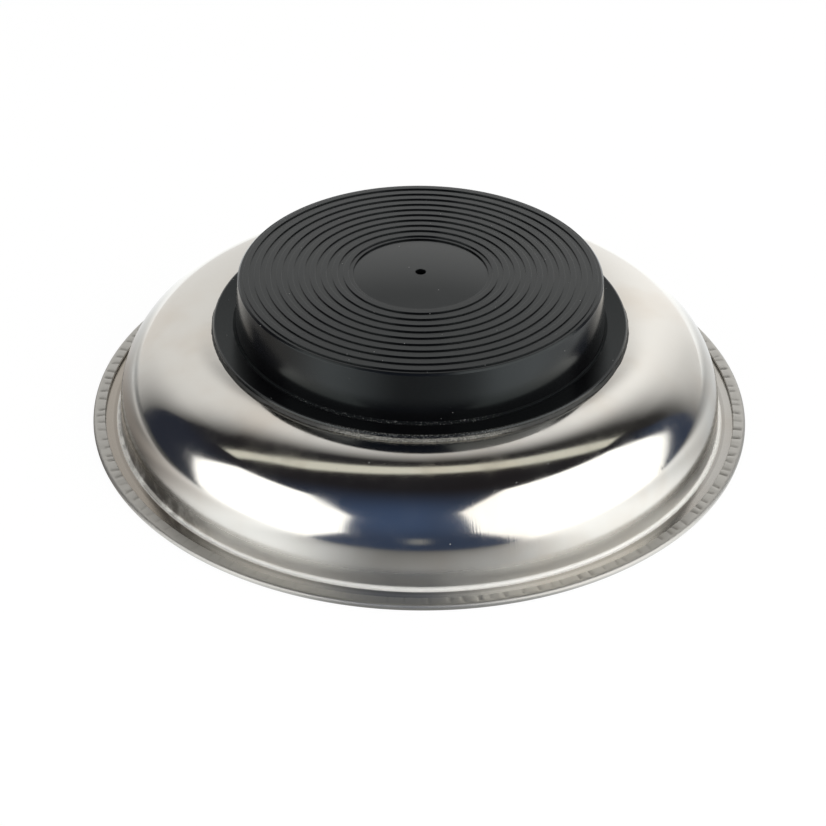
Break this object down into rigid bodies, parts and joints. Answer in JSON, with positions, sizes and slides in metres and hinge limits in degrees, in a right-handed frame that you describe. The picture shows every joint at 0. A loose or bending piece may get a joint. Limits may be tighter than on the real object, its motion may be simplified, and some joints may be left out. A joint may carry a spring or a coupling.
{
  "type": "magnetic parts tray",
  "caption": "Round stainless bowl with a hemmed rim, shown bottom up, with a ring magnet glued to its base under a ribbed rubber cover; holds small steel parts and clings to steel.",
  "frame": {"origin": "centre of the plane that the rim stands on, with the tray bottom up as pictured", "axes": "+Z from the rim up to the ribbed magnet face, +X to the right and +Y away from the camera of the picture; turn 180 degrees about X for use"},
  "size_m": [0.15, 0.15, 0.035],
  "materials": {
    "stainless": "pressed stainless sheet, satin to mirror bright, with fine grain",
    "ferrite": "ground ferrite, dull dark grey",
    "adhesive": "cured contact adhesive, yellowish",
    "black_rubber": "moulded black rubber, half gloss"
  },
  "bodies": {
    "root": {"bowl": "stainless", "ring_magnet": "ferrite", "magnet_adhesive": "adhesive", "magnet_cover": "black_rubber", "cover_adhesive": "adhesive"}
  },
  "joints": []
}
